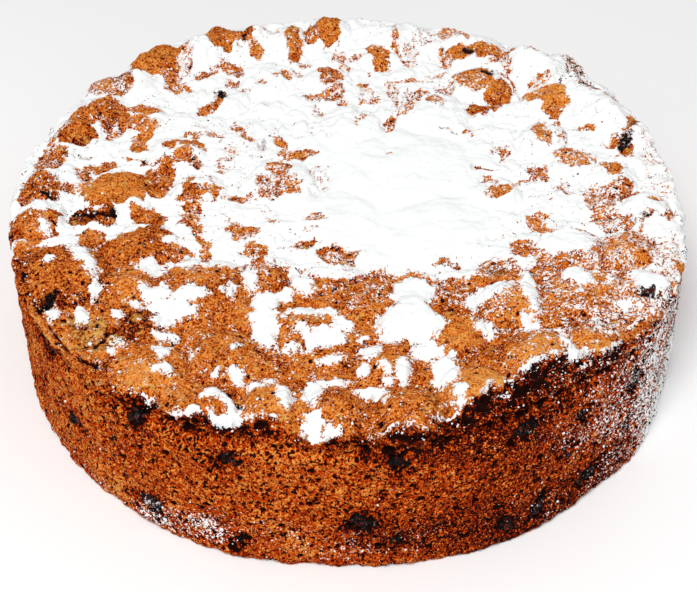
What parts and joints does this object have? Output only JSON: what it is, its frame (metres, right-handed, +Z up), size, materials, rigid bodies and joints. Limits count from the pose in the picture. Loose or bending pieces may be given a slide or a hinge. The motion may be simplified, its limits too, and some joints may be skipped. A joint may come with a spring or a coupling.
{
  "type": "date cake",
  "caption": "Round baked cake with a lumpy crust, a porous upright wall and pieces of date that show in both, dusted with icing sugar.",
  "frame": {"origin": "centre of the flat base, on the surface the cake stands on", "axes": "+Z up through the crust, -Y to the front of the cake, the side with the bare crust, and +X to its right"},
  "size_m": [0.23, 0.2306, 0.0617],
  "materials": {
    "crust": "matte",
    "date": "satin",
    "sugar": "matte"
  },
  "bodies": {
    "root": {"cake": "crust", "date_wall_01": "date", "date_wall_02": "date", "date_wall_03": "date", "date_wall_04": "date", "date_wall_05": "date", "date_wall_06": "date", "date_wall_07": "date", "date_wall_08": "date", "date_wall_09": "date", "date_wall_10": "date", "date_wall_11": "date", "date_wall_12": "date", "date_wall_13": "date", "date_wall_14": "date", "date_wall_15": "date", "date_wall_16": "date", "date_wall_17": "date", "date_wall_18": "date", "date_wall_19": "date", "date_wall_20": "date", "date_wall_21": "date", "date_wall_22": "date", "date_wall_23": "date", "date_wall_24": "date", "date_wall_25": "date", "date_wall_26": "date", "date_wall_27": "date", "date_wall_28": "date", "date_crust_01": "date", "date_crust_02": "date", "date_crust_03": "date", "date_crust_04": "date", "date_crust_05": "date", "date_crust_06": "date", "date_crust_07": "date", "date_crust_08": "date", "date_crust_09": "date", "date_crust_10": "date"}
  },
  "joints": []
}
